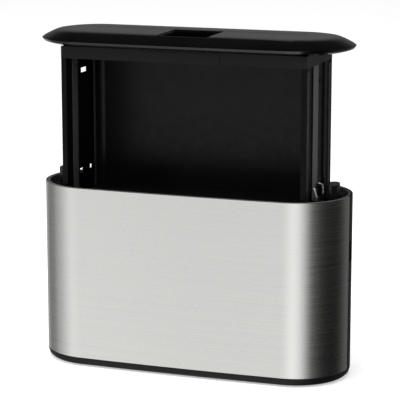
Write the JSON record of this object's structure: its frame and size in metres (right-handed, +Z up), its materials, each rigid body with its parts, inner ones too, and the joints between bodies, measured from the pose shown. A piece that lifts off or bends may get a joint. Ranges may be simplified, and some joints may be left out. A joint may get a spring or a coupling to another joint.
{
  "type": "countertop paper towel dispenser",
  "caption": "Oblong countertop dispenser for folded paper towels: steel-wrapped housing, sliding towel carriage shown raised, domed lid with a dispensing mouth.",
  "frame": {"origin": "centre of the plan on the worktop, at the underside of the feet", "axes": "+X along the width to the right of a person facing the front, +Y towards the back, +Z up"},
  "size_m": [0.322, 0.116, 0.3385],
  "materials": {
    "base_tray": "satin moulded",
    "rubber_feet": "matt",
    "base_screws": "brushed",
    "steel_sleeve": "brushed",
    "back_cover": "satin moulded",
    "housing_liner": "satin moulded",
    "left_guide": "satin moulded",
    "right_guide": "satin moulded",
    "left_catch_spring": "brushed",
    "right_catch_spring": "brushed",
    "left_latch_pin": "brushed",
    "right_latch_pin": "brushed",
    "spring_seats": "satin moulded",
    "left_plate_spring": "brushed",
    "right_plate_spring": "brushed",
    "carriage_left_side": "satin moulded",
    "carriage_right_side": "satin moulded",
    "left_racks": "satin moulded",
    "right_racks": "satin moulded",
    "carriage_back_panel": "satin moulded",
    "carriage_tie": "satin moulded",
    "top_collar": "satin moulded",
    "collar_tab": "satin moulded",
    "lid_shell": "polished moulded",
    "lid_mouth": "polished moulded",
    "lid_screws": "brushed",
    "towel_plate": "satin moulded",
    "left_latch": "satin moulded",
    "right_latch": "satin moulded"
  },
  "bodies": {
    "housing": {"base_tray": "base_tray", "rubber_feet": "rubber_feet", "base_screws": "base_screws", "steel_sleeve": "steel_sleeve", "back_cover": "back_cover", "housing_liner": "housing_liner", "left_guide": "left_guide", "right_guide": "right_guide", "left_catch_spring": "left_catch_spring", "right_catch_spring": "right_catch_spring", "left_latch_pin": "left_latch_pin", "right_latch_pin": "right_latch_pin", "spring_seats": "spring_seats", "left_plate_spring": "left_plate_spring", "right_plate_spring": "right_plate_spring"},
    "carriage": {"carriage_left_side": "carriage_left_side", "carriage_right_side": "carriage_right_side", "left_racks": "left_racks", "right_racks": "right_racks", "carriage_back_panel": "carriage_back_panel", "carriage_tie": "carriage_tie", "top_collar": "top_collar", "collar_tab": "collar_tab", "lid_shell": "lid_shell", "lid_mouth": "lid_mouth", "lid_screws": "lid_screws"},
    "plate": {"towel_plate": "towel_plate"},
    "left_lever": {"left_latch": "left_latch"},
    "right_lever": {"right_latch": "right_latch"}
  },
  "joints": [
    {"name": "carriage_lift", "type": "slide", "parent": "housing", "child": "carriage", "axis": [0, 0, 1], "range_m": [-0.1375, 0]},
    {"name": "plate_lift", "type": "slide", "parent": "housing", "child": "plate", "axis": [0, 0, 1], "range_m": [-0.125, 0], "stiffness_N_per_m": 30, "springref_m": 0.05, "deforming": ["left_plate_spring", "right_plate_spring"]},
    {"name": "right_latch_tilt", "type": "hinge", "parent": "housing", "child": "right_lever", "pos_m": [0.1332, 0.004, 0.14], "axis": [0, -1, 0], "range_deg": [0, 7.5]},
    {"name": "left_latch_tilt", "type": "hinge", "parent": "housing", "child": "left_lever", "pos_m": [-0.1332, 0.004, 0.14], "axis": [0, 1, 0], "range_deg": [0, 7.5]}
  ]
}
